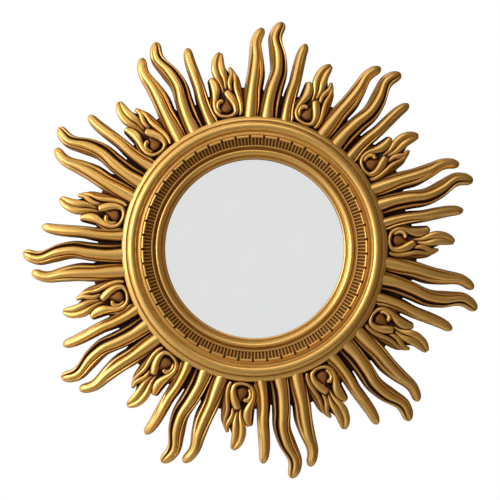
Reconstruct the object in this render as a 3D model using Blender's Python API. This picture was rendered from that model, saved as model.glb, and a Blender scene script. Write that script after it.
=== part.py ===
"""A round wall mirror in a cast sunburst frame, with wavy rays and leaf sprays round a turned moulding.

The mirror hangs upright on a wall. +Z is up, the wall is the plane y = 0, and the front faces -Y.
The origin is at the middle of the mirror, on the wall. A depth is a distance forward of the wall,
and a width or an angle across a group grows clockwise as the mirror is looked at.
"""

import math

import bmesh
import bpy
from mathutils import Matrix, Vector

MM = 0.001

# Driving sizes of the whole mirror
GROUPS = 11
FIRST_GROUP_TURN = math.radians(13.2)
SUN_RADIUS = 375 * MM
SIGHT_RADIUS = 145 * MM
RING_SEGMENTS = 44

# Glass and board, let into a rebate from behind
GLASS_THICKNESS = 3 * MM
GLASS_LAP = 6.5 * MM
BOARD_THICKNESS = 5 * MM
REBATE_PLAY = 1 * MM
FACE_GAP = 0.3 * MM
GLASS_RADIUS = SIGHT_RADIUS + GLASS_LAP
REBATE_RADIUS = GLASS_RADIUS + REBATE_PLAY
GLASS_BACK = BOARD_THICKNESS + FACE_GAP
GLASS_FRONT = GLASS_BACK + GLASS_THICKNESS
REBATE_DEPTH = GLASS_FRONT + FACE_GAP

# Members of the turned moulding, from the sight edge outwards: a width, and depths or heights
LIP_WIDTH = 3.2 * MM
LIP_DEPTH = 14.2 * MM
SIGHT_GROOVE_WIDTH = 3.0 * MM
SIGHT_GROOVE_DEPTH = 13.2 * MM
BEAD_WIDTH = 9.6 * MM
BEAD_FOOT = 16.5 * MM
BEAD_RISE = 5.0 * MM
HOLLOW_WIDTH = 4.4 * MM
HOLLOW_DEPTH = 18.0 * MM
HOLLOW_LOW_SHARE = 0.6
DENTIL_BAND_WIDTH = 12.4 * MM
DENTIL_BAND_INNER_DEPTH = 24.0 * MM
DENTIL_BAND_OUTER_DEPTH = 28.6 * MM
RIM_WIDTH = 4.6 * MM
RIM_DEPTH = 29.4 * MM
COVE_WIDTH = 8.7 * MM
COVE_DEPTH = 25.0 * MM
TORUS_WIDTH = 12.8 * MM
TORUS_FOOT = 26.4 * MM
TORUS_RISE = 6.6 * MM
OUTER_FILLET_WIDTH = 10.1 * MM
OUTER_FILLET_DEPTH = 24.6 * MM
RING_EDGE_DROP = 2.6 * MM
SWELL_STEPS = 4
RING_RADIUS = (
    SIGHT_RADIUS
    + LIP_WIDTH
    + SIGHT_GROOVE_WIDTH
    + BEAD_WIDTH
    + HOLLOW_WIDTH
    + DENTIL_BAND_WIDTH
    + RIM_WIDTH
    + COVE_WIDTH
    + TORUS_WIDTH
    + OUTER_FILLET_WIDTH
    + RING_EDGE_DROP / 2
)

# Thin web that joins the rays round the moulding, and how the rays stand on it
WEB_WIDTH = 42 * MM
WEB_DEPTH = 9 * MM
WEB_RADIUS = RING_RADIUS + WEB_WIDTH
RAY_BACK = 1 * MM
RAY_EDGE_DEPTH = 7 * MM
RAY_ROOT_DEPTH = 23.4 * MM
RAY_OVERLAP = 6 * MM

# Rays: where the tip stands from the centre and across the group, how round the tip is,
# the middle line and half width at even steps from root to tip in millimetres, the share
# of the root's height at the same steps, and the section as share across and share of height
LONG_RAY = {
    "reach": 362.2 * MM,
    "tip_length": 16 * MM,
    "middle": (-48.4, -50.8, -53.1, -53.9, -58.8, -64.4, -59.5),
    "half_width": (12.2, 13.7, 14.7, 14.4, 12.0, 8.8, 8.3),
    "height": (1.0, 1.0, 0.98, 0.92, 0.80, 0.58, 0.34),
    "section": ((-1, 0), (-0.14, 1), (0.36, 0.4), (0.6, 0.66), (1, 0)),
}
LONGEST_RAY = {
    "reach": SUN_RADIUS,
    "tip_length": 18 * MM,
    "middle": (-20.3, -21.6, -20.0, -18.4, -25.4, -34.9, -29.4),
    "half_width": (14.8, 15.2, 14.8, 14.0, 14.0, 10.9, 10.2),
    "height": (1.0, 1.0, 0.98, 0.92, 0.80, 0.58, 0.34),
    "section": ((-1, 0), (-0.14, 1), (0.42, 0.34), (0.7, 0.62), (1, 0)),
}
SHORT_RAY = {
    "reach": 344.6 * MM,
    "tip_length": 19 * MM,
    "middle": (9.3, 7.9, 8.2, 10.8, 11.5, 12.6, 15.9),
    "half_width": (11.7, 10.8, 11.0, 9.5, 9.4, 8.8, 8.1),
    "height": (1.0, 1.0, 0.98, 0.92, 0.80, 0.62, 0.36),
    "section": ((-1, 0), (-0.2, 1), (0.44, 0.46), (0.68, 0.62), (1, 0)),
}
RAYS = {"long_ray": LONG_RAY, "longest_ray": LONGEST_RAY, "short_ray": SHORT_RAY}
RAY_STEPS = 5
RAY_TIP_STEPS = (0.7,)
RAY_NOSE_SHARE = 1 / 6

# Leaf spray: strokes as shares of the spray's height above the moulding's edge. Each point is the
# distance across, the rise and the half width; the section is share across and share of height
LEAF_RISE = 104.6 * MM
LEAF_HEIGHT = 21 * MM
LOOK_AHEAD = 0.02
FLAME = {
    "line": (
        (0.486, 0.375, 0.036),
        (0.487, 0.509, 0.052),
        (0.484, 0.650, 0.108),
        (0.498, 0.775, 0.105),
        (0.529, 0.885, 0.090),
        (0.612, 1.000, 0.010),
    ),
    "height": (0.82, 0.80, 0.76, 0.70, 0.60, 0.42),
    "section": ((-1, 0), (-0.5, 1), (0, 0.66), (0.5, 0.95), (1, 0)),
    "steps": 5,
}
SCROLL = {
    "line": (
        (0.317, 0.645, 0.026),
        (0.342, 0.540, 0.050),
        (0.337, 0.423, 0.048),
        (0.268, 0.266, 0.032),
        (0.236, 0.135, 0.030),
        (0.300, 0.024, 0.030),
        (0.416, -0.011, 0.028),
        (0.509, 0.050, 0.034),
        (0.527, 0.181, 0.040),
        (0.506, 0.296, 0.045),
        (0.472, 0.385, 0.030),
    ),
    "height": (0.58, 0.80, 0.88, 0.92, 0.96, 1.0, 1.0, 1.0, 0.96, 0.92, 0.84),
    "section": ((-1, 0), (0, 1), (1, 0)),
    "steps": 9,
}
HOOK = {
    "line": (
        (0.385, 0.045, 0.020),
        (0.305, 0.112, 0.026),
        (0.288, 0.181, 0.026),
        (0.320, 0.243, 0.026),
        (0.362, 0.242, 0.022),
        (0.381, 0.212, 0.012),
    ),
    "height": (0.88, 0.92, 0.92, 0.90, 0.88, 0.84),
    "section": ((-1, 0), (0, 1), (1, 0)),
    "steps": 3,
}
SIDE_LEAF = {
    "line": (
        (0.609, -0.060, 0.044),
        (0.621, 0.150, 0.044),
        (0.629, 0.304, 0.070),
        (0.633, 0.413, 0.092),
        (0.645, 0.509, 0.088),
        (0.663, 0.602, 0.060),
        (0.680, 0.715, 0.006),
    ),
    "height": (1.0, 0.96, 0.90, 0.84, 0.76, 0.66, 0.50),
    "section": ((-1, 0), (-0.55, 0.8), (0.35, 1), (1, 0)),
    "steps": 5,
}
BACKING = {
    "line": (
        (0.471, 0.251, 0.240),
        (0.471, 0.405, 0.245),
        (0.485, 0.560, 0.232),
        (0.500, 0.652, 0.196),
        (0.528, 0.714, 0.120),
    ),
    "height": (0.5, 0.5, 0.5, 0.48, 0.44),
    "section": ((-1, 0), (-0.9, 1), (0.9, 1), (1, 0)),
    "steps": 3,
}
STROKES = {"backing": BACKING, "flame": FLAME, "scroll": SCROLL, "hook": HOOK, "side_leaf": SIDE_LEAF}

# Keyhole plate let in flush at the top of the frame's back, and its two countersunk screws
HANGER_WIDTH = 44 * MM
HANGER_HEIGHT = 22 * MM
HANGER_THICKNESS = 1.6 * MM
HANGER_FIT = 0.3 * MM
KEYHOLE_RADIUS = 5 * MM
KEYHOLE_SLOT_WIDTH = 5 * MM
KEYHOLE_SLOT_RISE = 8 * MM
KEYHOLE_DROP = 3.5 * MM
POCKET_DEPTH = 8 * MM
POCKET_MARGIN = 2 * MM
SCREW_SPREAD = 16 * MM
SCREW_LENGTH = 11 * MM
SCREW_RADIUS = 1.4 * MM
SCREW_HEAD_RADIUS = 3 * MM
SCREW_HEAD_DEPTH = 1.5 * MM
SCREW_FIT = 0.3 * MM
BORE_SPARE = 1 * MM
CUTTER_LENGTH = 10 * MM
SMALL_SIDES = 16
HANGER_CENTRE = (REBATE_RADIUS + RING_RADIUS) / 2


def clear_scene():
    for old in list(bpy.data.objects):
        bpy.data.objects.remove(old, do_unlink=True)


def material(name, colour, metallic, roughness):
    made = bpy.data.materials.new(name)
    made.use_nodes = True
    shader = made.node_tree.nodes["Principled BSDF"]
    shader.inputs["Base Color"].default_value = (*colour, 1)
    shader.inputs["Metallic"].default_value = metallic
    shader.inputs["Roughness"].default_value = roughness
    return made


def add_object(name, mesh, finish=None):
    mesh.validate()
    mesh.shade_smooth()
    mesh.set_sharp_from_angle(angle=math.radians(40))
    if finish:
        mesh.materials.append(finish)
    made = bpy.data.objects.new(name, mesh)
    bpy.context.scene.collection.objects.link(made)
    return made


def hide(helper):
    helper.hide_render = True
    helper.display_type = "WIRE"
    return helper


def outward_mesh(name, points, faces):
    """A mesh from corner points and faces, with every face turned outwards."""
    shape = bmesh.new()
    corners = [shape.verts.new(point) for point in points]
    for face in faces:
        shape.faces.new([corners[index] for index in face])
    bmesh.ops.recalc_face_normals(shape, faces=shape.faces)
    mesh = bpy.data.meshes.new(name)
    shape.to_mesh(mesh)
    shape.free()
    return mesh


def turned(name, profile, segments):
    """A closed profile of (radius, depth) turned about the mirror's axis. Radius 0 is one point."""
    points = []
    rows = []
    for radius, depth in profile:
        count = segments if radius > 0 else 1
        rows.append([len(points) + step % count for step in range(segments)])
        for step in range(count):
            turn = 2 * math.pi * step / segments
            points.append((radius * math.cos(turn), -depth, radius * math.sin(turn)))
    faces = []
    for row, following in zip(rows, rows[1:] + rows[:1]):
        for step in range(segments):
            ahead = (step + 1) % segments
            corners = (row[step], row[ahead], following[ahead], following[step])
            face = list(dict.fromkeys(corners))
            if len(face) > 2:
                faces.append(face)
    return outward_mesh(name, points, faces)


def swell(start, width, foot, rise, steps):
    """Points of a half-round member that stands proud of its foot, or sinks where the rise is negative."""
    points = []
    for step in range(steps + 1):
        turn = math.pi * step / steps
        across = start + width * (1 - math.cos(turn)) / 2
        points.append((across, foot + rise * math.sin(turn)))
    return points


def moulding_profile():
    """The closed section of moulding and web, from the sight edge out to the web and back under it."""
    profile = [(SIGHT_RADIUS, REBATE_DEPTH), (SIGHT_RADIUS, LIP_DEPTH)]
    start = SIGHT_RADIUS + LIP_WIDTH
    profile.append((start, LIP_DEPTH))
    profile.append((start, SIGHT_GROOVE_DEPTH))
    start += SIGHT_GROOVE_WIDTH
    profile += swell(start, BEAD_WIDTH, BEAD_FOOT, BEAD_RISE, SWELL_STEPS)
    start += BEAD_WIDTH
    profile.append((start + HOLLOW_WIDTH * HOLLOW_LOW_SHARE, HOLLOW_DEPTH))
    start += HOLLOW_WIDTH
    profile.append((start, DENTIL_BAND_INNER_DEPTH))
    start += DENTIL_BAND_WIDTH
    profile.append((start, DENTIL_BAND_OUTER_DEPTH))
    profile.append((start, RIM_DEPTH))
    start += RIM_WIDTH
    profile.append((start, RIM_DEPTH))
    profile.append((start + COVE_WIDTH / 2, COVE_DEPTH))
    start += COVE_WIDTH
    profile += swell(start, TORUS_WIDTH, TORUS_FOOT, TORUS_RISE, SWELL_STEPS)
    start += TORUS_WIDTH + OUTER_FILLET_WIDTH
    profile.append((start, OUTER_FILLET_DEPTH))
    profile.append((RING_RADIUS, OUTER_FILLET_DEPTH - RING_EDGE_DROP))
    profile.append((RING_RADIUS, WEB_DEPTH))
    profile.append((WEB_RADIUS, WEB_DEPTH))
    profile.append((WEB_RADIUS, 0))
    profile.append((REBATE_RADIUS, 0))
    profile.append((REBATE_RADIUS, REBATE_DEPTH))
    return profile


def smooth(values, share):
    """A smooth curve through evenly spaced values, read at a share of its length from 0 to 1."""
    last = len(values) - 1
    place = min(max(share, 0), 1) * last
    start = min(int(place), last - 1)
    part = place - start
    before = values[max(start - 1, 0)]
    first = values[start]
    second = values[start + 1]
    after = values[min(start + 2, last)]
    bend = 2 * before - 5 * first + 4 * second - after
    twist = 3 * (first - second) + after - before
    return first + 0.5 * part * (second - before + part * (bend + part * twist))


def group_place(across, rise, depth, group):
    """A point of one group: distance across its axis, distance out along the axis, and depth."""
    turn = FIRST_GROUP_TURN + 2 * math.pi * group / GROUPS
    out = Vector((math.cos(turn), 0, math.sin(turn)))
    side = Vector((math.sin(turn), 0, -math.cos(turn)))
    return out * rise + side * across + Vector((0, -depth, 0))


def carved_bar(name, rows, group):
    """A flat-backed bar through rows of (across, rise, depth) points, each row from edge to edge."""
    points = []
    loops = []
    for row in rows:
        loop = list(row)
        if row[0][2] > RAY_BACK:
            loop.append((row[-1][0], row[-1][1], RAY_BACK))
            loop.append((row[0][0], row[0][1], RAY_BACK))
        loops.append(range(len(points), len(points) + len(loop)))
        points += [group_place(*point, group) for point in loop]
    faces = [list(loops[0]), list(loops[-1])]
    for loop, following in zip(loops, loops[1:]):
        for index in range(len(loop)):
            ahead = (index + 1) % len(loop)
            faces.append((loop[index], loop[ahead], following[ahead], following[index]))
    return outward_mesh(name, points, faces)


def ray_rows(ray):
    """Rows across a wavy ray, from its root in the moulding to its rounded tip."""
    root = math.sqrt(RING_RADIUS**2 - (ray["middle"][0] * MM) ** 2) - RAY_OVERLAP
    tip = math.sqrt(ray["reach"] ** 2 - (ray["middle"][-1] * MM) ** 2)
    body = tip - root - ray["tip_length"]
    places = [root + body * step / RAY_STEPS for step in range(RAY_STEPS + 1)]
    places += [tip - ray["tip_length"] * (1 - share) for share in RAY_TIP_STEPS]
    rows = []
    for rise in places:
        share = (rise - root) / (tip - root)
        past_body = max(0, 1 - (tip - rise) / ray["tip_length"])
        half_width = smooth(ray["half_width"], share) * MM * math.sqrt(1 - past_body**2)
        middle = smooth(ray["middle"], share) * MM
        crown = smooth(ray["height"], share) * (RAY_ROOT_DEPTH - RAY_EDGE_DEPTH)
        row = []
        for across, height in ray["section"]:
            row.append((middle + across * half_width, rise, RAY_EDGE_DEPTH + crown * height))
        rows.append(row)
    ends = [point[0] for point in rows[-1]]
    narrowest = (ends[-1] - ends[0]) * RAY_NOSE_SHARE
    nose = []
    for across, height in ray["section"]:
        nose.append((smooth(ray["middle"], 1) * MM + across * narrowest, tip, rows[-1][0][2] + height * MM))
    return rows + [nose]


def stroke_rows(stroke):
    """Rows square to a curled stroke of the leaf spray."""
    line = [Vector(point) for point in stroke["line"]]
    rows = []
    for step in range(stroke["steps"] + 1):
        share = step / stroke["steps"]
        here = smooth(line, share)
        ahead = smooth(line, share + LOOK_AHEAD) if share < 1 else here
        behind = smooth(line, share - LOOK_AHEAD) if share > 0 else here
        along = (ahead - behind).to_2d().normalized()
        square = Vector((along.y, -along.x))
        crown = smooth(stroke["height"], share) * LEAF_HEIGHT - RAY_BACK
        row = []
        for across, height in stroke["section"]:
            place = (here.to_2d() + square * across * here.z) * LEAF_RISE
            row.append((place.x, RING_RADIUS + place.y, RAY_BACK + crown * height))
        rows.append(row)
    return rows


def carvings():
    """Every ray and stroke of all the groups, in a collection that the moulding is joined with."""
    found = bpy.data.collections.new("rays_and_leaves")
    bpy.context.scene.collection.children.link(found)
    shapes = {name: ray_rows(ray) for name, ray in RAYS.items()}
    shapes |= {name: stroke_rows(stroke) for name, stroke in STROKES.items()}
    for group in range(GROUPS):
        for name, rows in shapes.items():
            label = f"{name}_{group + 1}"
            bar = hide(add_object(label, carved_bar(label, rows, group)))
            bpy.context.scene.collection.objects.unlink(bar)
            found.objects.link(bar)
    return found


def box_helper(name, centre, size):
    bpy.ops.mesh.primitive_cube_add(size=1, location=centre)
    made = bpy.context.active_object
    made.name = name
    made.scale = size
    bpy.ops.object.transform_apply(location=False, rotation=False, scale=True)
    return hide(made)


def pin_helper(name, centre, radius, length):
    """A cylinder along the mirror's depth, centred at a point."""
    bpy.ops.mesh.primitive_cylinder_add(
        vertices=SMALL_SIDES, radius=radius, depth=length, location=centre, rotation=(math.pi / 2, 0, 0)
    )
    made = bpy.context.active_object
    made.name = name
    return hide(made)


def boolean(target, helper, operation):
    step = target.modifiers.new(f"{operation.lower()}_{helper.name}", "BOOLEAN")
    step.operation = operation
    step.solver = "EXACT"
    if isinstance(helper, bpy.types.Collection):
        step.operand_type = "COLLECTION"
        step.collection = helper
    else:
        step.object = helper


def screw_places():
    return {
        "left": Vector((-SCREW_SPREAD, 0, HANGER_CENTRE)),
        "right": Vector((SCREW_SPREAD, 0, HANGER_CENTRE)),
    }


def sunburst_frame(gilt):
    frame = add_object("sunburst_frame", turned("sunburst_frame", moulding_profile(), RING_SEGMENTS), gilt)
    boolean(frame, carvings(), "UNION")
    seat_depth = HANGER_THICKNESS + 2 * HANGER_FIT
    middle = Vector((0, 0, HANGER_CENTRE))
    seat_size = (HANGER_WIDTH + 2 * HANGER_FIT, 2 * seat_depth, HANGER_HEIGHT + 2 * HANGER_FIT)
    boolean(frame, box_helper("hanger_seat", middle, seat_size), "DIFFERENCE")
    pocket_width = 2 * (KEYHOLE_RADIUS + POCKET_MARGIN)
    pocket_height = HANGER_HEIGHT - 2 * POCKET_MARGIN
    pocket_size = (pocket_width, 2 * (seat_depth + POCKET_DEPTH), pocket_height)
    boolean(frame, box_helper("screw_head_pocket", middle, pocket_size), "DIFFERENCE")
    for side, place in screw_places().items():
        bore = pin_helper(f"bore_{side}", place, SCREW_RADIUS + SCREW_FIT, 2 * (SCREW_LENGTH + BORE_SPARE))
        boolean(frame, bore, "DIFFERENCE")
    return frame


def disc(name, radius, back, thickness, finish):
    profile = [(0, back), (radius, back), (radius, back + thickness), (0, back + thickness)]
    return add_object(name, turned(name, profile, RING_SEGMENTS), finish)


def screw_profile(length, radius, head_radius, head_depth):
    """Half section of a countersunk screw as (radius, distance from the face of its head)."""
    return [(0, 0), (head_radius, 0), (radius, head_depth), (radius, length), (0, length)]


def screw_mesh(name, place, profile):
    mesh = turned(name, profile, SMALL_SIDES)
    mesh.transform(Matrix.Translation(place + Vector((0, -HANGER_FIT, 0))))
    return mesh


def hanger_plate(steel):
    centre = (0, -(HANGER_FIT + HANGER_THICKNESS / 2), HANGER_CENTRE)
    plate = box_helper("hanger_plate", centre, (HANGER_WIDTH, HANGER_THICKNESS, HANGER_HEIGHT))
    plate.hide_render = False
    plate.display_type = "TEXTURED"
    plate.data.materials.append(steel)
    key = Vector((0, 0, HANGER_CENTRE - KEYHOLE_DROP))
    boolean(plate, pin_helper("keyhole", key, KEYHOLE_RADIUS, CUTTER_LENGTH), "DIFFERENCE")
    slot_end = key + Vector((0, 0, KEYHOLE_SLOT_RISE))
    slot_middle = (key + slot_end) / 2
    slot_size = (KEYHOLE_SLOT_WIDTH, CUTTER_LENGTH, (slot_end - key).z)
    boolean(plate, box_helper("keyhole_slot", slot_middle, slot_size), "DIFFERENCE")
    boolean(plate, pin_helper("keyhole_end", slot_end, KEYHOLE_SLOT_WIDTH / 2, CUTTER_LENGTH), "DIFFERENCE")
    for side, place in screw_places().items():
        radius = SCREW_RADIUS + SCREW_FIT
        head_radius = SCREW_HEAD_RADIUS + SCREW_FIT
        profile = screw_profile(SCREW_LENGTH, radius, head_radius, SCREW_HEAD_DEPTH)
        profile = [(0, -HANGER_THICKNESS), (head_radius, -HANGER_THICKNESS), *profile[1:]]
        sink = add_object(f"countersink_{side}", screw_mesh(f"countersink_{side}", place, profile))
        boolean(plate, hide(sink), "DIFFERENCE")
    return plate


def hanger_screws(steel):
    profile = screw_profile(SCREW_LENGTH, SCREW_RADIUS, SCREW_HEAD_RADIUS, SCREW_HEAD_DEPTH)
    for side, place in screw_places().items():
        name = f"hanger_screw_{side}"
        add_object(name, screw_mesh(name, place, profile), steel)


def build():
    clear_scene()
    gilt = material("gilt_resin", (0.58, 0.34, 0.10), 0.85, 0.38)
    silvered = material("silvered_glass", (0.92, 0.93, 0.93), 1.0, 0.03)
    fibreboard = material("fibreboard", (0.36, 0.25, 0.16), 0.0, 0.8)
    steel = material("zinc_plated_steel", (0.62, 0.62, 0.60), 1.0, 0.35)
    sunburst_frame(gilt)
    disc("mirror_glass", GLASS_RADIUS, GLASS_BACK, GLASS_THICKNESS, silvered)
    disc("back_board", GLASS_RADIUS, 0, BOARD_THICKNESS, fibreboard)
    hanger_plate(steel)
    hanger_screws(steel)


build()
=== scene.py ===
import math

import bpy
from mathutils import Matrix, Vector


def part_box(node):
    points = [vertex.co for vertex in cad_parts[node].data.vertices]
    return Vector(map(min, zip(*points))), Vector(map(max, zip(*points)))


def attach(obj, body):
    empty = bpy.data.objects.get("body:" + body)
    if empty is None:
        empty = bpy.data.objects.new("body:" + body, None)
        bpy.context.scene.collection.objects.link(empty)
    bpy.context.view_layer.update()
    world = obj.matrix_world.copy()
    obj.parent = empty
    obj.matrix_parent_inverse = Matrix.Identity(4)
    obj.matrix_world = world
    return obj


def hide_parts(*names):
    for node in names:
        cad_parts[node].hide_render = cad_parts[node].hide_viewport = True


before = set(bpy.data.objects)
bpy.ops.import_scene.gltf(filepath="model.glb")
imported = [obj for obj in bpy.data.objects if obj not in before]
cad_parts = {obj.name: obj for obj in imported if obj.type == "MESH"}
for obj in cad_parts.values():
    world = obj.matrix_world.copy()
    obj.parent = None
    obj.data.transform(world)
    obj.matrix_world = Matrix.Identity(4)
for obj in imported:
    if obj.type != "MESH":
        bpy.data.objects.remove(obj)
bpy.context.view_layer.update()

MM = 0.001

# The camera stands in front of the mirror, a touch to the left of its middle and just below it, and
# looks straight at it with a long lens, as the picture was taken.
CAMERA_DISTANCE = 1618 * MM
CAMERA_TURN = math.radians(-1.1)
CAMERA_LIFT = math.radians(-2.65)
SENSOR_WIDTH = 36
FOCAL_LENGTH = 71.6
FRAME_SHIFT = (-0.0092, -0.0027)

lens = bpy.data.cameras.new("camera")
lens.sensor_width = SENSOR_WIDTH
lens.lens = FOCAL_LENGTH
lens.shift_x, lens.shift_y = FRAME_SHIFT
camera = bpy.data.objects.new("camera", lens)
bpy.context.scene.collection.objects.link(camera)
camera.location = CAMERA_DISTANCE * Vector((
    math.sin(CAMERA_TURN) * math.cos(CAMERA_LIFT),
    -math.cos(CAMERA_TURN) * math.cos(CAMERA_LIFT),
    math.sin(CAMERA_LIFT),
))
camera.rotation_euler = (-camera.location).to_track_quat("-Z", "Y").to_euler()
bpy.context.scene.camera = camera

# The studio: a white backdrop, a soft surround that is bright on the left and dim on the right, a pale
# wall straight in front for the glass to show, two soft lamps and a pale floor.
FLOOR_DROP = 3.0
FLOOR_SIZE = 6.0
FLOOR_COLOUR = (0.8, 0.79, 0.78, 1)
FLOOR_ROUGHNESS = 0.7
SURROUND_STRENGTH = 1.2
BRIGHT_SIDE = (-0.976, -0.05, 0.21)
SURROUND = (
    (0.0, (0.10, 0.073, 0.047)),
    (0.36, (0.135, 0.102, 0.07)),
    (0.5, (0.165, 0.14, 0.108)),
    (0.60, (0.28, 0.26, 0.22)),
    (0.74, (0.68, 0.66, 0.61)),
    (1.0, (0.88, 0.86, 0.82)),
)
FRONT_WALL_DIRECTION = (0.019, -0.9988, 0.046)
FRONT_WALL_EDGE = (0.9935, 0.9955)
FRONT_WALL_LEVEL = 0.8
LAMP_COLOUR = (1.0, 0.96, 0.9)
LAMPS = {
    "key_lamp": {"place": (-1.6, -1.2, 0.4), "size": 1.2, "power": 15.5},
    "top_lamp": {"place": (0.15, -1.3, 1.3), "size": 1.0, "power": 3.4},
}


def node_with(tree, kind, **values):
    """A shader node with some of its inputs set."""
    made = tree.nodes.new(kind)
    for name, value in values.items():
        made.inputs[name.replace("_", " ")].default_value = value
    return made


def shaded(tree, level, shades):
    """The colour that a level from 0 to 1 has on a ramp of (position, colour) shades."""
    ramp = tree.nodes.new("ShaderNodeValToRGB")
    stops = ramp.color_ramp.elements
    while len(stops) < len(shades):
        stops.new(0.5)
    for stop, (position, colour) in zip(stops, shades):
        stop.position = position
        stop.color = (*colour, 1)
    tree.links.new(level, ramp.inputs["Fac"])
    return ramp.outputs["Color"]


bpy.context.scene.view_settings.view_transform = "Standard"
world = bpy.data.worlds.new("studio")
bpy.context.scene.world = world
world.use_nodes = True
tree = world.node_tree
tree.nodes.clear()
direction = tree.nodes.new("ShaderNodeTexCoord")
levels = []
for axis, start, end in ((BRIGHT_SIDE, -1.0, 1.0), (FRONT_WALL_DIRECTION, *FRONT_WALL_EDGE)):
    along = tree.nodes.new("ShaderNodeVectorMath")
    along.operation = "DOT_PRODUCT"
    along.inputs[1].default_value = axis
    tree.links.new(direction.outputs["Generated"], along.inputs[0])
    level = node_with(tree, "ShaderNodeMapRange", From_Min=start, From_Max=end)
    tree.links.new(along.outputs["Value"], level.inputs["Value"])
    levels.append(level.outputs["Result"])
surround = node_with(tree, "ShaderNodeBackground", Strength=SURROUND_STRENGTH)
tree.links.new(shaded(tree, levels[0], SURROUND), surround.inputs["Color"])
wall_colour = (FRONT_WALL_LEVEL, FRONT_WALL_LEVEL, FRONT_WALL_LEVEL, 1)
front_wall = node_with(tree, "ShaderNodeBackground", Color=wall_colour)
backdrop = node_with(tree, "ShaderNodeBackground", Color=(1, 1, 1, 1))
room = tree.nodes.new("ShaderNodeMixShader")
seen = tree.nodes.new("ShaderNodeLightPath")
either = tree.nodes.new("ShaderNodeMixShader")
sky = tree.nodes.new("ShaderNodeOutputWorld")
for source, target in (
    (levels[1], room.inputs["Fac"]),
    (surround.outputs["Background"], room.inputs[1]),
    (front_wall.outputs["Background"], room.inputs[2]),
    (seen.outputs["Is Camera Ray"], either.inputs["Fac"]),
    (room.outputs["Shader"], either.inputs[1]),
    (backdrop.outputs["Background"], either.inputs[2]),
    (either.outputs["Shader"], sky.inputs["Surface"]),
):
    tree.links.new(source, target)

for name, lamp in LAMPS.items():
    light = bpy.data.lights.new(name, "AREA")
    light.energy = lamp["power"]
    light.size = lamp["size"]
    light.color = LAMP_COLOUR
    holder = bpy.data.objects.new(name, light)
    bpy.context.scene.collection.objects.link(holder)
    holder.location = lamp["place"]
    holder.rotation_euler = (-holder.location).to_track_quat("-Z", "Y").to_euler()

bpy.ops.object.select_all(action="DESELECT")
bpy.ops.mesh.primitive_plane_add(size=FLOOR_SIZE, location=(0, 0, -FLOOR_DROP))
floor = bpy.context.active_object
floor.name = "studio_floor"
floor_paint = bpy.data.materials.new("pale_floor")
floor_paint.use_nodes = True
floor_shader = floor_paint.node_tree.nodes["Principled BSDF"]
floor_shader.inputs["Base Color"].default_value = FLOOR_COLOUR
floor_shader.inputs["Roughness"].default_value = FLOOR_ROUGHNESS
floor.data.materials.append(floor_paint)

# The turned moulding is the round body of the frame, cast in resin in one with the rays and gilded
# with them. Its members were turned on the pattern: lip, bead, hollow, dentil band, cove, torus and fillet.
# A groove stands for every dentil gap, and each fourth gap runs on through the rim beside the band.
GAP_COUNT = 196
COLUMNS_PER_GAP = 3
GAP_COLUMNS = 2
LONG_GAP_EVERY = 4
GAP_DEPTH = 2.2 * MM
GAP_DRAFT = 0.2 * MM
GAP_FLOOR_PATINA = 0.5
FIRST_LONG_GAP = math.radians(4.44)
BAND_START = 166.2
BAND_END = 176.8
LONG_GAP_END = 182.6
FRONT_DEPTH = 20 * MM
SIGHT_RADIUS = 145.0
REBATE_RADIUS = 152.5
REBATE_DEPTH = 8.6
RING_RADIUS = 215.1
WEB_RADIUS = 254.0
MOULDING_CREASE = math.radians(38)
WELD = 0.01 * MM
# Each edge of the section: radius and depth in millimetres, how far the member that starts there swells,
# how many steps it has, and the patina at its edge and in its middle. On the ring's outer wall and the web
# between the rays this value is painted shade, and below 0 it is a painted highlight that lightens the gold
MOULDING = (
    (SIGHT_RADIUS, REBATE_DEPTH, 0.0, 2, 0.8, 0.5),
    (SIGHT_RADIUS, 13.5, 0.6, 4, 0.1, 0.0),
    (147.8, 14.2, -1.0, 5, 0.15, 0.15),
    (150.2, 15.0, 4.8, 14, 0.2, 0.0),
    (160.0, 18.2, -0.7, 5, 0.12, 0.14),
    (163.0, 20.8, 0.0, 2, 0.15, 0.12),
    (163.6, 24.2, 0.8, 4, 0.05, 0.0),
    (165.6, 24.4, -0.2, 3, 0.15, 0.25),
    (BAND_START, 24.8, 0.0, 4, 0.3, 0.38),
    (BAND_END, 27.6, 0.0, 1, 0.2, 0.1),
    (177.4, 28.8, 1.7, 8, 0.0, 0.0),
    # The cove's edge has a value below 0, a painted highlight that lightens it against the painted shade
    (181.3, 28.5, -2.3, 8, -0.15, 0.08),
    (189.4, 26.0, 6.4, 20, 0.1, 0.0),
    (204.4, 25.2, -0.4, 3, 0.1, 0.15),
    (205.6, 25.5, 1.4, 8, 0.05, 0.0),
    (213.4, 21.6, 0.2, 2, 0.0, 0.2),
    # The ring's outer wall and the web between the rays are painted dark as shade
    (213.9, 20.6, 0.0, 4, 0.8, 1.0),
    (RING_RADIUS, 9.0, 0.0, 5, 1.0, 1.0),
    (246.0, 8.6, 1.5, 4, 0.9, 0.9),
    (WEB_RADIUS, 3.0, 0.0, 1, 1.0, 1.0),
    (WEB_RADIUS, 0.0, 0.0, 8, 0.7, 0.6),
    (REBATE_RADIUS, 0.0, 0.0, 3, 0.7, 0.8),
    (REBATE_RADIUS, REBATE_DEPTH, 0.0, 2, 0.8, 0.8),
)
# How far the occlusion that paints shade into the gold's hollows reaches
PAINTED_SHADE_REACH = 8 * MM
# Weight of the attribute that holds the patina and, on walls and the web between the rays, painted shade
PATINA_AND_SHADE_WEIGHT = 0.8
BLOTCH_WEIGHT = 0.16
GRAIN_WEIGHT = 0.14
GRAIN_DEPTH = 0.2 * MM
# Gold from clean to darkest, read at a level that sums patina, painted shade, blotches and grain
GOLD_SHADES = (
    (0.00, (0.93, 0.57, 0.17)),
    (0.28, (0.60, 0.305, 0.068)),
    (0.58, (0.21, 0.070, 0.012)),
    (0.82, (0.075, 0.022, 0.006)),
    (1.00, (0.030, 0.010, 0.004)),
)


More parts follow.
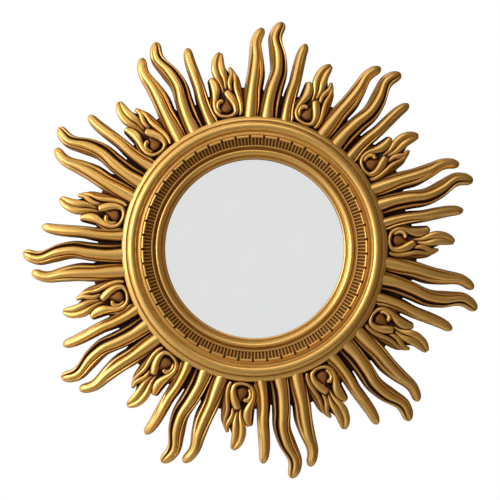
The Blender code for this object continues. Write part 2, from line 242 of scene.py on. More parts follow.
def sum_of(tree, first, second, share):
    """A node that adds a share of the second value to the first."""
    made = tree.nodes.new("ShaderNodeMath")
    made.operation = "MULTIPLY_ADD"
    tree.links.new(second, made.inputs[0])
    made.inputs[1].default_value = share
    tree.links.new(first, made.inputs[2])
    return made.outputs[0]


def antique_gold():
    """Worn gold over a dark red-brown patina that stays in the hollows, darkened further by painted shade
    where little light gets in.
    """
    made = bpy.data.materials.new("antique_gold")
    made.use_nodes = True
    tree = made.node_tree
    shader = tree.nodes["Principled BSDF"]
    place = tree.nodes.new("ShaderNodeTexCoord").outputs["Object"]
    # The attribute holds the patina and, on walls and on the web between the rays, painted shade
    patina_and_shade = tree.nodes.new("ShaderNodeAttribute")
    patina_and_shade.attribute_name = "patina_and_shade"
    blotches = node_with(tree, "ShaderNodeTexNoise", Scale=38, Detail=4)
    grain = node_with(tree, "ShaderNodeTexNoise", Scale=900, Detail=3)
    for noise in (blotches, grain):
        tree.links.new(place, noise.inputs["Vector"])
    # An occlusion node darkens the gold where little light gets in: painted shade on top of the patina
    shade = node_with(tree, "ShaderNodeAmbientOcclusion", Distance=PAINTED_SHADE_REACH)
    shade.samples = 8
    painted_shade = node_with(tree, "ShaderNodeMapRange", From_Min=0.2, From_Max=0.9, To_Min=0.42, To_Max=-0.06)
    tree.links.new(shade.outputs["AO"], painted_shade.inputs["Value"])
    total = sum_of(tree, painted_shade.outputs["Result"], patina_and_shade.outputs["Fac"], PATINA_AND_SHADE_WEIGHT)
    total = sum_of(tree, total, blotches.outputs["Fac"], BLOTCH_WEIGHT)
    total = sum_of(tree, total, grain.outputs["Fac"], GRAIN_WEIGHT)
    level = node_with(tree, "ShaderNodeMapRange", From_Min=0.12, From_Max=1.1)
    tree.links.new(total, level.inputs["Value"])
    tree.links.new(shaded(tree, level.outputs["Result"], GOLD_SHADES), shader.inputs["Base Color"])
    shader.inputs["Coat Weight"].default_value = 0.14
    shader.inputs["Coat Roughness"].default_value = 0.22
    shader.inputs["Specular IOR Level"].default_value = 0.16
    metal = node_with(tree, "ShaderNodeMapRange", To_Min=0.85, To_Max=0.2)
    gloss = node_with(tree, "ShaderNodeMapRange", To_Min=0.3, To_Max=0.75)
    for made_range, target in ((metal, "Metallic"), (gloss, "Roughness")):
        tree.links.new(level.outputs["Result"], made_range.inputs["Value"])
        tree.links.new(made_range.outputs["Result"], shader.inputs[target])
    bump = node_with(tree, "ShaderNodeBump", Strength=0.06, Distance=GRAIN_DEPTH)
    tree.links.new(grain.outputs["Fac"], bump.inputs["Height"])
    tree.links.new(bump.outputs["Normal"], shader.inputs["Normal"])
    return made


def profile_points(edges):
    """(radius, depth, patina and painted shade) along a closed section of straight, round and hollow
    members.
    """
    points = []
    for edge, far_edge in zip(edges, edges[1:] + edges[:1]):
        radius, depth, swell, steps, patina_and_shade, middle_dark = edge
        for step in range(steps):
            turn = math.pi * step / steps
            share = (1 - math.cos(turn)) / 2
            here = radius + (far_edge[0] - radius) * share
            proud = depth + (far_edge[1] - depth) * share + swell * math.sin(turn)
            edge_dark = patina_and_shade + (far_edge[4] - patina_and_shade) * share
            points.append((here, proud, edge_dark + (middle_dark - edge_dark) * math.sin(turn)))
    return points


def spun(name, points, turn, columns):
    """A closed section spun once round the mirror's axis, starting at an angle."""
    bpy.ops.object.select_all(action="DESELECT")
    bpy.ops.mesh.primitive_circle_add(vertices=len(points), fill_type="NOTHING")
    made = bpy.context.active_object
    made.name = name
    patina_and_shade = made.data.attributes.new("patina_and_shade", "FLOAT", "POINT")
    for vertex, (radius, depth, dark) in zip(made.data.vertices, points):
        vertex.co = Vector((radius * math.cos(turn), -depth, radius * math.sin(turn))) * MM
        patina_and_shade.data[vertex.index].value = dark
    bpy.ops.object.mode_set(mode="EDIT")
    bpy.ops.mesh.select_all(action="SELECT")
    bpy.ops.mesh.spin(steps=columns, angle=2 * math.pi, center=(0, 0, 0), axis=(0, -1, 0))
    bpy.ops.mesh.select_all(action="SELECT")
    bpy.ops.mesh.remove_doubles(threshold=WELD)
    bpy.ops.mesh.normals_make_consistent(inside=False)
    bpy.ops.mesh.select_all(action="DESELECT")
    bpy.ops.mesh.select_mode(type="FACE")
    bpy.ops.object.mode_set(mode="OBJECT")
    return made


def cut(target, helper):
    """Cuts a helper's shape out of a piece and removes the helper."""
    bpy.context.view_layer.objects.active = target
    step = target.modifiers.new("cut", "BOOLEAN")
    step.object = helper
    step.solver = "EXACT"
    bpy.ops.object.modifier_apply(modifier=step.name)
    bpy.data.objects.remove(helper)


columns = GAP_COUNT * COLUMNS_PER_GAP
column_turn = 2 * math.pi / columns
first_column = FIRST_LONG_GAP - GAP_COLUMNS * column_turn / 2
moulding = spun("turned_moulding", profile_points(MOULDING), first_column, columns)
for face in moulding.data.polygons:
    radius = math.hypot(face.center.x, face.center.z) / MM
    turn = (math.atan2(face.center.z, face.center.x) - first_column) % (2 * math.pi)
    gap, column = divmod(int(turn / column_turn), COLUMNS_PER_GAP)
    gap_end = LONG_GAP_END if gap % LONG_GAP_EVERY == 0 else BAND_END
    face.select = column < GAP_COLUMNS and BAND_START < radius < gap_end and -face.center.y > FRONT_DEPTH
bpy.ops.object.mode_set(mode="EDIT")
bpy.ops.mesh.inset(thickness=GAP_DRAFT, depth=-GAP_DEPTH)
bpy.ops.object.mode_set(mode="OBJECT")
for vertex in moulding.data.vertices:
    if vertex.select:
        moulding.data.attributes["patina_and_shade"].data[vertex.index].value = GAP_FLOOR_PATINA

# The keyhole plate's seat, a pocket behind it for the wall screw's head and the bores of its two screws
# are cut into the frame's back
HANGER_FIT = 0.3 * MM
POCKET_DEPTH = 8 * MM
POCKET_WIDTH = 14 * MM
POCKET_HEIGHT = 18 * MM
BORE_SIDES = 24
BORE_RADIUS = 1.7 * MM
BORE_PAST_SCREW = 1 * MM
plate_low, plate_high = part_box("hanger_plate")
plate_middle = (plate_low + plate_high) / 2
seat_depth = HANGER_FIT - plate_low.y
seat_size = plate_high - plate_low + 2 * HANGER_FIT * Vector((1, 0, 1))
for width, depth, tall in (
    (seat_size.x, seat_depth, seat_size.z),
    (POCKET_WIDTH, seat_depth + POCKET_DEPTH, POCKET_HEIGHT),
):
    bpy.ops.mesh.primitive_cube_add(size=1, location=(plate_middle.x, 0, plate_middle.z))
    recess = bpy.context.active_object
    recess.scale = (width, 2 * depth, tall)
    cut(moulding, recess)
for node in ("hanger_screw_left", "hanger_screw_right"):
    low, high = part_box(node)
    bpy.ops.mesh.primitive_cylinder_add(
        vertices=BORE_SIDES,
        radius=BORE_RADIUS,
        depth=2 * (BORE_PAST_SCREW - low.y),
        location=((low.x + high.x) / 2, 0, (low.z + high.z) / 2),
        rotation=(math.pi / 2, 0, 0),
    )
    cut(moulding, bpy.context.active_object)
bpy.ops.object.select_all(action="DESELECT")
moulding.select_set(True)
bpy.context.view_layer.objects.active = moulding
bpy.ops.object.shade_smooth_by_angle(angle=MOULDING_CREASE)
gold = antique_gold()
moulding.data.materials.append(gold)
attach(moulding, "root")
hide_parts("sunburst_frame")

# The wavy rays stand round the moulding in eleven groups of three, cast in one with it in gilded resin.
# Each is a plump main strand with thinner strands beside it and dark grooves between, and a round tip.
GROUPS = 11
FIRST_GROUP_TURN = math.radians(13.2)
RAY_BACK = 1.0
RAY_EDGE_DEPTH = 6.0
RAY_ROOT_DEPTH = 24.2
RAY_OVERLAP = 6.0
BODY_ROWS = 46
TIP_ROWS = 14
RAY_WALL = 1.2
RAY_CREASE = math.radians(50)
TIP_EDGE_DROP = 0.3
BACK_STEPS = 3
WALL_TUCK = 0.05
DOME_POWER = 2.2
LOW_CREST = 0.55
GROOVE_PATINA = 0.85
FOOT_PATINA = 0.6
# The side walls of rays and strokes are painted dark as shade
WALL_PAINTED_SHADE = 0.9
BACK_PATINA = 0.6
PATINA_LOST_ON_DOME = 0.8
# Blender starts the rings of a ball this share of a turn round
BALL_START = 0.25
# Rays, in millimetres: how far the tip reaches, how long its rounding is, and at seven even steps from
# root to tip the middle line, the half width and the share of the root's height. The strands list
# valleys and crests in turn across the ray: the place as a share of the half width (None is midway),
# the height as a share, how far the ray's plain dome takes over, and a crest's steps in each flank.
LONG_RAY = {
    "reach": 362.6,
    "tip": 12.0,
    "middle": (-48.4, -50.8, -53.1, -53.9, -58.8, -64.4, -59.5),
    "half_width": (12.6, 14.1, 15.1, 14.8, 12.4, 9.2, 8.2),
    "height": (1.0, 1.0, 0.98, 0.92, 0.80, 0.62, 0.42),
    "strands": (
        (-1, 0.12, 0),
        (None, (0.35, 0.45, 0.66, 0.7, 0.7, 0.7, 0.7), (0, 0, 0, 0, 0.1, 0.5, 0.9), 3),
        ((-0.9, -0.74, -0.58, -0.62, -0.50, -0.54, -0.5), (0.3, 0.4, 0.54, 0.56, 0.56, 0.6, 0.6),
         (0, 0, 0, 0, 0.1, 0.6, 1)),
        (None, 1.0, 0, 8),
        ((0.74, 0.62, 0.42, 0.36, 0.44, 0.42, 0.42), 0.5, (0, 0, 0, 0.1, 0.8, 1, 1)),
        ((0.84, 0.78, 0.60, 0.57, 0.74, 0.75, 0.75), 0.7, (0, 0, 0, 0.1, 0.8, 1, 1), 3),
        ((0.93, 0.90, 0.76, 0.76, 0.88, 0.96, 0.96), 0.4, (0, 0, 0, 0.1, 0.6, 1, 1)),
        (1, 0.12, 0),
    ),
}
LONGEST_RAY = {
    "reach": 374.8,
    "tip": 13.0,
    "middle": (-20.3, -21.6, -20.0, -18.4, -25.4, -34.9, -29.4),
    "half_width": (15.2, 15.6, 15.2, 14.4, 14.4, 11.3, 9.8),
    "height": (1.0, 1.0, 0.98, 0.92, 0.80, 0.62, 0.42),
    "strands": (
        (-1, 0.12, 0),
        ((-0.88, -0.81, -0.84, -0.70, -0.58, -0.70, -0.72), 0.74, (0, 0, 0, 0, 0.1, 0.5, 0.9), 3),
        ((-0.76, -0.66, -0.70, -0.54, -0.40, -0.50, -0.5), 0.56, (0, 0, 0, 0, 0.05, 0.3, 0.95)),
        ((-0.12, -0.16, -0.2, -0.12, 0.0, -0.1, -0.1), 1.0, 0, 8),
        ((0.52, 0.34, 0.30, 0.34, 0.46, 0.32, 0.32), 0.72, (0, 0, 0, 0, 0, 0.1, 0.6)),
        ((0.72, 0.58, 0.52, 0.62, 0.64, 0.52, 0.50), 0.42, (0, 0, 0, 0, 0, 0.1, 0.6)),
        ((0.84, 0.74, 0.66, 0.76, 0.82, 0.76, 0.74), 0.74, (0, 0, 0, 0, 0, 0.2, 0.8), 3),
        ((0.94, 0.90, 0.84, 0.90, 0.95, 0.96, 0.96), 0.36, (0, 0, 0, 0, 0.2, 0.5, 1)),
        (1, 0.12, 0),
    ),
}
SHORT_RAY = {
    "reach": 346.4,
    "tip": 12.0,
    "middle": (9.3, 7.9, 8.2, 10.8, 11.5, 12.6, 15.9),
    "half_width": (12.0, 11.2, 11.4, 10.1, 9.8, 9.0, 7.2),
    "height": (1.0, 1.0, 0.98, 0.92, 0.80, 0.62, 0.42),
    "strands": (
        (-1, 0.12, 0),
        ((-0.82, -0.74, -0.66, -0.74, -0.72, -0.76, -0.85), 0.46, (0, 0, 0, 0.2, 0.8, 1, 1)),
        (None, 1.0, 0, 8),
        ((0.56, 0.46, 0.46, 0.55, 0.42, 0.40, 0.45), 0.58, (0, 0, 0, 0.5, 1, 1, 1)),
        ((0.82, 0.76, 0.72, 0.76, 0.70, 0.68, 0.7), 0.74, (0, 0, 0, 0.4, 1, 1, 1), 3),
        (1, 0.12, 0),
    ),
}


def smooth(values, share):
    """A smooth curve through evenly spaced values, read at a share of its length from 0 to 1."""
    last = len(values) - 1
    place = min(max(share, 0), 1) * last
    start = min(int(place), last - 1)
    part = place - start
    before = values[max(start - 1, 0)]
    first = values[start]
    second = values[start + 1]
    after = values[min(start + 2, last)]
    bend = 2 * before - 5 * first + 4 * second - after
    twist = 3 * (first - second) + after - before
    return first + 0.5 * part * (second - before + part * (bend + part * twist))


def group_place(across, rise, depth):
    """A point of the first group: across its axis, out along the axis, and depth, in millimetres."""
    out = Vector((math.cos(FIRST_GROUP_TURN), 0, math.sin(FIRST_GROUP_TURN)))
    side = Vector((out.z, 0, -out.x))
    return (out * rise + side * across + Vector((0, -depth, 0))) * MM


def read_at(value, share):
    """A value that is one number all along, or a smooth curve through numbers at even steps."""
    return smooth(value, share) if isinstance(value, tuple) else value


def strand_section(strands, share):
    """(place across, height, patina) over rounded strands and the valleys between them."""
    knots = []
    for across, height, fading, *steps in strands:
        knots.append([read_at(across, share), read_at(height, share), read_at(fading, share), *steps])
    for before, knot, after in zip(knots, knots[1:], knots[2:]):
        if knot[0] is None:
            knot[0] = (before[0] + after[0]) / 2
    points = []
    for index, knot in enumerate(knots):
        across, height, fading, *steps = knot
        if not steps:
            points.append((across, height, fading, max(GROOVE_PATINA, 1 - height / LOW_CREST)))
            continue
        dullness = max(0, 1 - height / LOW_CREST)
        flanks = []
        for foot_index in (index - 1, index + 1):
            foot = knots[foot_index]
            outermost = foot_index in (0, len(knots) - 1) and len(knots) > 3
            flank = []
            for step in range(1, steps[0] + 1):
                part = step / steps[0]
                turn = math.pi / 2 * part
                inward, upward = (part, part) if outermost else (1 - math.cos(turn), math.sin(turn))
                place = foot[0] + (across - foot[0]) * inward
                rise = foot[1] + (height - foot[1]) * upward
                dark = max(dullness, FOOT_PATINA * (1 - upward) ** 2)
                flank.append((place, rise, foot[2] + (fading - foot[2]) * part, dark))
            flanks.append(flank)
        points += flanks[0] + flanks[1][-2::-1]
    shaped = []
    for across, height, fading, dark in points:
        dome = max(0, 1 - abs(across) ** DOME_POWER) ** (1 / DOME_POWER)
        dark *= 1 - PATINA_LOST_ON_DOME * fading
        shaped.append((across, height + (dome - height) * fading, dark))
    return shaped


def closed_row(points, back, wall_foot):
    """Closes a row of (across, depth, patina) with a wall at each side, painted dark as shade, and a flat
    back.
    """
    left, right = points[0], points[-1]
    tuck = WALL_TUCK * (right[0] - left[0]) / 2
    row = list(points)
    row.append((right[0], wall_foot, WALL_PAINTED_SHADE))
    for step in range(BACK_STEPS + 1):
        share = step / BACK_STEPS
        row.append((right[0] - tuck + (left[0] - right[0] + 2 * tuck) * share, back, BACK_PATINA))
    row.append((left[0], wall_foot, WALL_PAINTED_SHADE))
    return row


def carved(name, rows):
    """A solid through rows of (point, patina and painted shade), made from a ball whose rings are moved to
    the rows.
    """
    places = len(rows[0])
    bpy.ops.object.select_all(action="DESELECT")
    bpy.ops.mesh.primitive_uv_sphere_add(segments=places, ring_count=len(rows) + 1, radius=1)
    made = bpy.context.active_object
    made.name = name
    patina_and_shade = made.data.attributes.new("patina_and_shade", "FLOAT", "POINT")
    for vertex in made.data.vertices:
        ring = round(math.acos(min(max(vertex.co.z, -1), 1)) / math.pi * (len(rows) + 1))
        if 0 < ring <= len(rows):
            turn = math.atan2(vertex.co.y, vertex.co.x) / (2 * math.pi) - BALL_START
            place, dark = rows[ring - 1][round(turn * places) % places]
        else:
            end = rows[0] if ring == 0 else rows[-1]
            place = sum((point for point, _ in end), Vector()) / places
            dark = end[0][1]
        vertex.co = place
        patina_and_shade.data[vertex.index].value = dark
    bpy.ops.object.mode_set(mode="EDIT")
    bpy.ops.mesh.select_all(action="SELECT")
    bpy.ops.mesh.normals_make_consistent(inside=False)
    bpy.ops.object.mode_set(mode="OBJECT")
    return made


def ray_rows(ray):
    """Rows across a wavy ray, from its root in the moulding to its rounded tip."""
    root = math.sqrt(RING_RADIUS**2 - ray["middle"][0] ** 2) - RAY_OVERLAP
    tip = math.sqrt(ray["reach"] ** 2 - ray["middle"][-1] ** 2)
    body = tip - root - ray["tip"]
    rises = [(root + body * step / BODY_ROWS, 0) for step in range(BODY_ROWS + 1)]
    for step in range(1, TIP_ROWS):
        past = math.sin(math.pi / 2 * step / TIP_ROWS)
        rises.append((tip - ray["tip"] * (1 - past), past))
    rows = []
    for rise, past in rises:
        share = (rise - root) / (tip - root)
        narrowing = math.sqrt(1 - past**2)
        half_width = smooth(ray["half_width"], share) * narrowing
        middle = smooth(ray["middle"], share)
        edge = RAY_EDGE_DEPTH * (1 - TIP_EDGE_DROP * past)
        crown = smooth(ray["height"], share) * (RAY_ROOT_DEPTH - RAY_EDGE_DEPTH) * math.sqrt(1 - past**3)
        points = []
        for across, height, dark in strand_section(ray["strands"], share):
            points.append((middle + across * half_width, edge + crown * height, dark))
        row = closed_row(points, RAY_BACK, RAY_BACK + RAY_WALL * narrowing)
        rows.append([(group_place(across, rise, depth), dark) for across, depth, dark in row])
    return rows


def repeated_round(name, shapes):
    """Joins one group's shapes and copies them to the other groups round the mirror, as one piece."""
    bpy.ops.object.select_all(action="DESELECT")
    for group in range(1, GROUPS):
        turned = Matrix.Rotation(-2 * math.pi * group / GROUPS, 4, "Y")
        for shape in shapes:
            copy = shape.copy()
            copy.data = shape.data.copy()
            copy.data.transform(turned)
            bpy.context.scene.collection.objects.link(copy)
            copy.select_set(True)
    for shape in shapes:
        shape.select_set(True)
    bpy.context.view_layer.objects.active = shapes[0]
    bpy.ops.object.join()
    made = bpy.context.active_object
    made.name = name
    bpy.ops.object.shade_smooth_by_angle(angle=RAY_CREASE)
    made.data.materials.clear()
    made.data.materials.append(gold)
    return made


rays = repeated_round(
    "wavy_rays",
    [carved(name, ray_rows(ray)) for name, ray in (("a", LONG_RAY), ("b", LONGEST_RAY), ("c", SHORT_RAY))],
)
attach(rays, "root")
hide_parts("sunburst_frame")

# A spray of curled leaves stands between every two groups of rays, cast in one with them in gilded resin:
# a scroll round a domed eye, a hooked leaf that curls over the eye, a flame-shaped leaf and a side leaf.
LEAF_RISE = 104.6
LEAF_HEIGHT = 21.0
LEAF_WALL = 3.0
LEAF_END_HEIGHT = 0.6
LOOK_AHEAD = 0.01
# Each stroke's back lies this much in front of the one before it, so that no two share a plane
BACK_STAGGER = 0.08
# Strokes as shares of the spray's height above the moulding's edge. Each point is the distance across,
# the rise and the half width. Heights are shares of the leaf height, ends how long each rounded end is
# as a share of the stroke, rows how many rows it has, and patina is added to that of its strands;
# on the dark web this added value is painted shade.
PLAIN = ((-1, 0.72, 0), (None, 1.0, 0, 6), (1, 0.72, 0))
SCROLL = {
    "line": (
        (0.322, 0.666, 0.038),
        (0.340, 0.540, 0.066),
        (0.325, 0.432, 0.068),
        (0.280, 0.333, 0.052),
        (0.233, 0.245, 0.042),
        (0.214, 0.142, 0.036),
        (0.250, 0.050, 0.032),
        (0.331, 0.000, 0.031),
        (0.412, -0.016, 0.033),
        (0.490, 0.008, 0.040),
        (0.526, 0.098, 0.050),
        (0.522, 0.196, 0.059),
        (0.500, 0.285, 0.064),
        (0.470, 0.384, 0.051),
    ),
    "height": (0.66, 0.76, 0.84, 0.88, 0.92, 0.96, 1.0, 1.0, 1.0, 1.0, 1.0, 1.0, 0.98, 0.94),
    "ends": (0.03, 0.03),
    "rows": 90,
    "strands": (
        (-1, 0.74, 0),
        ((0.2, 0.1, 0, 0, 0, 0, 0, 0, 0, -0.1, -0.15, -0.2, -0.2, -0.2), 1.0, 0, 7),
        (1, 0.72, 0),
    ),
}
HOOK = {
    "line": (
        (0.283, 0.080, 0.024),
        (0.262, 0.148, 0.031),
        (0.270, 0.205, 0.033),
        (0.303, 0.244, 0.036),
        (0.344, 0.252, 0.036),
        (0.376, 0.228, 0.034),
    ),
    "height": (0.86, 0.92, 0.96, 0.99, 1.0, 1.0),
    "ends": (0.1, 0.12),
    "rows": 34,
    "strands": PLAIN,
}
EYE = {
    "line": (
        (0.376, 0.036, 0.060),
        (0.382, 0.095, 0.092),
        (0.398, 0.155, 0.086),
        (0.424, 0.215, 0.050),
        (0.450, 0.285, 0.018),
    ),
    "height": (0.72, 0.78, 0.78, 0.74, 0.68),
    "ends": (0.26, 0.1),
    "rows": 26,
    "strands": ((-1, 0.8, 0), (None, 1.0, 0, 6), (1, 0.8, 0)),
    "patina_and_shade": (0.64, 0.62, 0.62, 0.64, 0.75),
}
FLAME_UPPER = {
    "line": (
        (0.424, 0.345, 0.022),
        (0.443, 0.478, 0.029),
        (0.440, 0.562, 0.039),
        (0.428, 0.649, 0.052),
        (0.433, 0.739, 0.058),
        (0.457, 0.825, 0.053),
        (0.497, 0.899, 0.049),
        (0.554, 0.958, 0.039),
        (0.612, 0.996, 0.019),
    ),
    "height": (0.6, 0.7, 0.78, 0.82, 0.8, 0.76, 0.68, 0.58, 0.44),
    "ends": (0.05, 0.06),
    "rows": 34,
    "strands": PLAIN,
    "patina_and_shade": (0.3, 0.1, 0, 0, 0, 0, 0, 0.1, 0.3),
}
FLAME_LOWER = {
    "line": (
        (0.468, 0.372, 0.022),
        (0.512, 0.500, 0.035),
        (0.530, 0.578, 0.046),
        (0.534, 0.653, 0.057),
        (0.541, 0.728, 0.061),
        (0.554, 0.801, 0.056),
        (0.578, 0.871, 0.049),
        (0.607, 0.935, 0.033),
        (0.624, 0.984, 0.015),
    ),
    "height": (0.58, 0.68, 0.74, 0.76, 0.74, 0.7, 0.63, 0.54, 0.42),
    "ends": (0.05, 0.06),
    "rows": 34,
    "strands": PLAIN,
    "patina_and_shade": (0.4, 0.15, 0.05, 0.05, 0.05, 0.05, 0.1, 0.15, 0.3),
}
SIDE_UPPER = {
    "line": (
        (0.556, 0.345, 0.022),
        (0.555, 0.406, 0.033),
        (0.572, 0.478, 0.040),
        (0.614, 0.544, 0.045),
        (0.652, 0.603, 0.039),
        (0.664, 0.669, 0.034),
        (0.669, 0.724, 0.023),
    ),
    "height": (0.66, 0.72, 0.72, 0.7, 0.66, 0.6, 0.52),
    "ends": (0.06, 0.08),
    "rows": 28,
    "strands": PLAIN,
    "patina_and_shade": (0.2, 0.1, 0.1, 0.15, 0.2, 0.2, 0.2),
}
SIDE_LOWER = {
    "line": (
        (0.533, -0.060, 0.025),
        (0.577, -0.002, 0.033),
        (0.611, 0.103, 0.039),
        (0.622, 0.215, 0.040),
        (0.627, 0.328, 0.037),
        (0.645, 0.415, 0.034),
        (0.674, 0.492, 0.032),
        (0.689, 0.557, 0.038),
        (0.686, 0.626, 0.032),
        (0.680, 0.700, 0.017),
    ),
    "height": (1.0, 0.98, 0.94, 0.9, 0.86, 0.8, 0.74, 0.66, 0.58, 0.5),
    "ends": (0.03, 0.06),
    "rows": 40,
    "strands": PLAIN,
    "patina_and_shade": (0, 0, 0, 0, 0.05, 0.1, 0.2, 0.25, 0.25, 0.3),
}
SIDE_SLOPE = {
    "line": (
        (0.615, -0.062, 0.025),
        (0.645, 0.059, 0.036),
        (0.665, 0.168, 0.043),
        (0.681, 0.286, 0.047),
        (0.692, 0.390, 0.044),
        (0.706, 0.484, 0.041),
        (0.710, 0.552, 0.033),
        (0.697, 0.623, 0.019),
    ),
    "height": (0.72, 0.7, 0.66, 0.6, 0.55, 0.5, 0.46, 0.4),
    "ends": (0.03, 0.06),
    "rows": 30,
    "strands": ((-1, 1.0, 1), (None, 0.8, 0, 2), (1, 0.2, 0)),
    "patina_and_shade": (0.5, 0.45, 0.4, 0.42, 0.45, 0.45, 0.5, 0.5),
}
OUTER_STRAND = {
    "line": (
        (0.188, 0.010, 0.015),
        (0.165, 0.095, 0.021),
        (0.155, 0.173, 0.023),
        (0.163, 0.248, 0.023),
        (0.197, 0.315, 0.023),
        (0.239, 0.381, 0.020),
        (0.271, 0.442, 0.011),
    ),
    "height": (0.9, 0.86, 0.8, 0.72, 0.62, 0.52, 0.44),
    "ends": (0.05, 0.05),
    "rows": 26,
    "strands": PLAIN,
    "patina_and_shade": (0, 0, 0, 0.1, 0.35, 0.5, 0.6),
}
# The dark web that the leaves lie on: a border, a backing under the spray and tongues that run out
# between neighbouring rays before the gaps open. Their dark is painted shade, where the web lies in shadow
LOW = ((-1, 0.35, 0), (None, 1.0, 0, 5), (1, 0.35, 0))
PETAL_BORDER = {
    "line": (
        (0.312, 0.672, 0.050),
        (0.322, 0.555, 0.078),
        (0.304, 0.448, 0.080),
        (0.268, 0.360, 0.068),
        (0.236, 0.280, 0.056),
    ),
    "height": (0.36, 0.38, 0.4, 0.42, 0.44),
    "ends": (0.12, 0.1),
    "rows": 20,
    "strands": LOW,
    "patina_and_shade": 0.95,
}
BACKING = {
    "line": (
        (0.433, 0.200, 0.150),
        (0.477, 0.363, 0.165),
        (0.522, 0.504, 0.135),
        (0.532, 0.640, 0.098),
        (0.535, 0.790, 0.060),
        (0.572, 0.900, 0.030),
    ),
    "height": (0.62, 0.62, 0.6, 0.56, 0.48, 0.38),
    "ends": (0.2, 0.12),
    "rows": 24,
    "strands": LOW,
    "patina_and_shade": 1.0,
}
RAY_TONGUE = {
    "line": ((-0.344, 0.0, 0.06), (-0.360, 0.220, 0.050), (-0.367, 0.430, 0.022)),
    "height": (0.36, 0.36, 0.3),
    "ends": (0.2, 0.4),
    "rows": 12,
    "strands": LOW,
    "patina_and_shade": 1.0,
}
PETAL_TONGUE = {
    "line": ((0.160, 0.200, 0.070), (0.186, 0.310, 0.055), (0.203, 0.415, 0.026)),
    "height": (0.36, 0.36, 0.3),
    "ends": (0.2, 0.4),
    "rows": 12,
    "strands": LOW,
    "patina_and_shade": 1.0,
}
LEAF_TONGUE = {
    "line": ((0.720, 0.050, 0.060), (0.742, 0.210, 0.060), (0.746, 0.365, 0.034)),
    "height": (0.4, 0.38, 0.3),
    "ends": (0.2, 0.4),
    "rows": 14,
    "strands": LOW,
    "patina_and_shade": 0.75,
}
SPRAY = (
    BACKING, PETAL_BORDER, LEAF_TONGUE, PETAL_TONGUE, RAY_TONGUE, SCROLL, HOOK, EYE,
    FLAME_UPPER, FLAME_LOWER, SIDE_UPPER, SIDE_LOWER, SIDE_SLOPE, OUTER_STRAND,
)


def stroke_rows(stroke, back):
    """Rows square to a curled stroke of the leaf spray, with both ends rounded off."""
    line = [Vector(point) for point in stroke["line"]]
    first_end, last_end = stroke["ends"]
    rows = []
    for step in range(1, stroke["rows"]):
        share = (1 - math.cos(math.pi * step / stroke["rows"])) / 2
        share = (share + step / stroke["rows"]) / 2
        past = max(0, 1 - share / first_end, 1 - (1 - share) / last_end)
        narrowing = math.sqrt(1 - past**2)
        here = smooth(line, share)
        along = (smooth(line, share + LOOK_AHEAD) - smooth(line, share - LOOK_AHEAD)).to_2d().normalized()
        square = Vector((along.y, -along.x))
        fullness = LEAF_END_HEIGHT + (1 - LEAF_END_HEIGHT) * narrowing
        crown = smooth(stroke["height"], share) * LEAF_HEIGHT * fullness
        # A stroke's added value is patina, and on the web strokes it is painted shade
        added_dark = read_at(stroke.get("patina_and_shade", 0), share)
        points = []
        for across, height, dark in strand_section(stroke["strands"], share):
            points.append((across * here.z * narrowing, crown * height, added_dark + (1 - added_dark) * dark))
        row = []
        wall_foot = min(LEAF_WALL, (points[0][1] + back) / 2)
        for across, depth, dark in closed_row(points, back, wall_foot):
            place = (here.to_2d() * LEAF_RISE) + square * across * LEAF_RISE
            row.append((group_place(place.x, RING_RADIUS + place.y, depth), dark))
        rows.append(row)
    return rows


strokes = []
for index, stroke in enumerate(SPRAY):
    strokes.append(carved("stroke", stroke_rows(stroke, RAY_BACK + BACK_STAGGER * (index + 1))))
sprays = repeated_round("leaf_sprays", strokes)
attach(sprays, "root")
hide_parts("sunburst_frame")

# The looking glass is a flat silvered disc, let into the frame from behind and seen through its round
# opening. It keeps the solid's shape, and its finish is the silvering with a breath of haze.
SILVER_SHADES = ((0.0, (0.90, 0.92, 0.915)), (1.0, (0.95, 0.955, 0.95)))

silver = bpy.data.materials.new("silvered_glass")
silver.use_nodes = True
tree = silver.node_tree
shader = tree.nodes["Principled BSDF"]
shader.inputs["Metallic"].default_value = 1.0
haze = node_with(tree, "ShaderNodeTexNoise", Scale=22, Detail=3)
tree.links.new(tree.nodes.new("ShaderNodeTexCoord").outputs["Object"], haze.inputs["Vector"])
clouded = node_with(tree, "ShaderNodeMapRange", To_Min=0.015, To_Max=0.06)
tree.links.new(haze.outputs["Fac"], clouded.inputs["Value"])
tree.links.new(clouded.outputs["Result"], shader.inputs["Roughness"])
tree.links.new(shaded(tree, haze.outputs["Fac"], SILVER_SHADES), shader.inputs["Base Color"])
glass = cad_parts["mirror_glass"]
glass.data.materials.clear()
glass.data.materials.append(silver)

# The back board is a disc of brown fibreboard that holds the glass in its rebate from behind, flush
# with the frame's back. Its face is pressed fibre, a little blotched.
FIBRE_SHADES = ((0.0, (0.17, 0.105, 0.06)), (1.0, (0.33, 0.225, 0.14)))

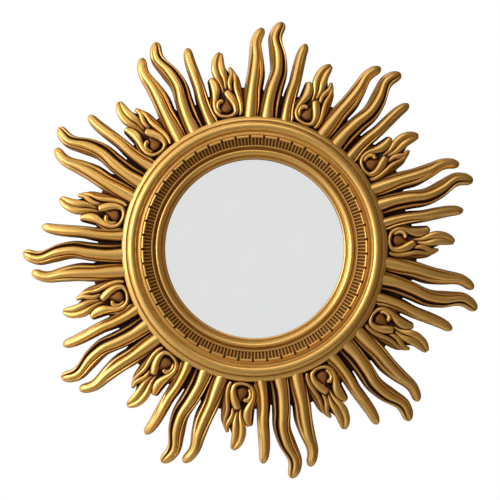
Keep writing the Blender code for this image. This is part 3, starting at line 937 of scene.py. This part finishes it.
fibre = bpy.data.materials.new("fibreboard")
fibre.use_nodes = True
tree = fibre.node_tree
shader = tree.nodes["Principled BSDF"]
shader.inputs["Roughness"].default_value = 0.82
place = tree.nodes.new("ShaderNodeTexCoord").outputs["Object"]
stretch = node_with(tree, "ShaderNodeMapping", Scale=(1, 1, 3.5))
tree.links.new(place, stretch.inputs["Vector"])
strands_of_fibre = node_with(tree, "ShaderNodeTexNoise", Scale=420, Detail=5)
tree.links.new(stretch.outputs["Vector"], strands_of_fibre.inputs["Vector"])
blotch = node_with(tree, "ShaderNodeTexNoise", Scale=14, Detail=3)
tree.links.new(place, blotch.inputs["Vector"])
mixed = sum_of(tree, strands_of_fibre.outputs["Fac"], blotch.outputs["Fac"], 0.7)
level = node_with(tree, "ShaderNodeMapRange", From_Min=0.55, From_Max=1.15)
tree.links.new(mixed, level.inputs["Value"])
tree.links.new(shaded(tree, level.outputs["Result"], FIBRE_SHADES), shader.inputs["Base Color"])
bump = node_with(tree, "ShaderNodeBump", Strength=0.3, Distance=0.2 * MM)
tree.links.new(strands_of_fibre.outputs["Fac"], bump.inputs["Height"])
tree.links.new(bump.outputs["Normal"], shader.inputs["Normal"])
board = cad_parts["back_board"]
board.data.materials.clear()
board.data.materials.append(fibre)

# The keyhole plate and its two countersunk screws are zinc plated steel, let in flush at the top of
# the frame's back. The plating is brushed along the plate and a little spotted.
ZINC_SHADES = ((0.0, (0.52, 0.52, 0.50)), (1.0, (0.70, 0.70, 0.69)))

zinc = bpy.data.materials.new("zinc_plated_steel")
zinc.use_nodes = True
tree = zinc.node_tree
shader = tree.nodes["Principled BSDF"]
shader.inputs["Metallic"].default_value = 1.0
place = tree.nodes.new("ShaderNodeTexCoord").outputs["Object"]
stretch = node_with(tree, "ShaderNodeMapping", Scale=(0.05, 1, 1))
tree.links.new(place, stretch.inputs["Vector"])
brushing = node_with(tree, "ShaderNodeTexNoise", Scale=2600, Detail=2)
tree.links.new(stretch.outputs["Vector"], brushing.inputs["Vector"])
spots = node_with(tree, "ShaderNodeTexNoise", Scale=210, Detail=4)
tree.links.new(place, spots.inputs["Vector"])
worn = sum_of(tree, brushing.outputs["Fac"], spots.outputs["Fac"], 0.6)
dulled = node_with(tree, "ShaderNodeMapRange", From_Min=0.5, From_Max=1.1, To_Min=0.26, To_Max=0.5)
tree.links.new(worn, dulled.inputs["Value"])
tree.links.new(dulled.outputs["Result"], shader.inputs["Roughness"])
tree.links.new(shaded(tree, worn, ZINC_SHADES), shader.inputs["Base Color"])
bump = node_with(tree, "ShaderNodeBump", Strength=0.15, Distance=0.05 * MM)
tree.links.new(brushing.outputs["Fac"], bump.inputs["Height"])
tree.links.new(bump.outputs["Normal"], shader.inputs["Normal"])
for node in ("hanger_plate", "hanger_screw_left", "hanger_screw_right"):
    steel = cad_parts[node]
    steel.data.materials.clear()
    steel.data.materials.append(zinc)
